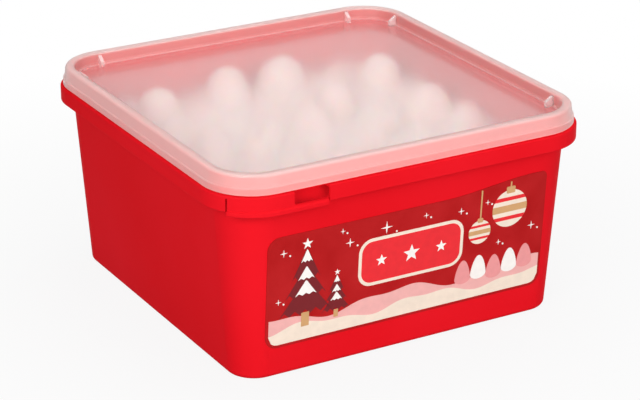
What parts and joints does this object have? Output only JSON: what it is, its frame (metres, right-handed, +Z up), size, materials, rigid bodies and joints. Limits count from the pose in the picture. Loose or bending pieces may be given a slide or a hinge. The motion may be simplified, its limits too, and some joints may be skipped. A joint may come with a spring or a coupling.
{
  "type": "tub of foam candy",
  "caption": "Square red plastic tub with a frosted push-on lid, a tear tab at one corner and a front label, filled with rounded foam candies.",
  "frame": {"origin": "middle of the face the tub stands on", "axes": "+Z up, the front wall with the label faces -Y, +X to the right seen from the front"},
  "size_m": [0.195, 0.1957, 0.1029],
  "materials": {
    "tub_plastic": "semi-gloss red polypropylene",
    "lid_plastic": "frosted translucent polypropylene",
    "label_film": "printed film moulded onto the wall",
    "foam": "soft matt sugar foam"
  },
  "bodies": {
    "root": {"tub": "tub_plastic", "lid": "lid_plastic", "label": "label_film", "foam_candies": "foam"}
  },
  "joints": []
}
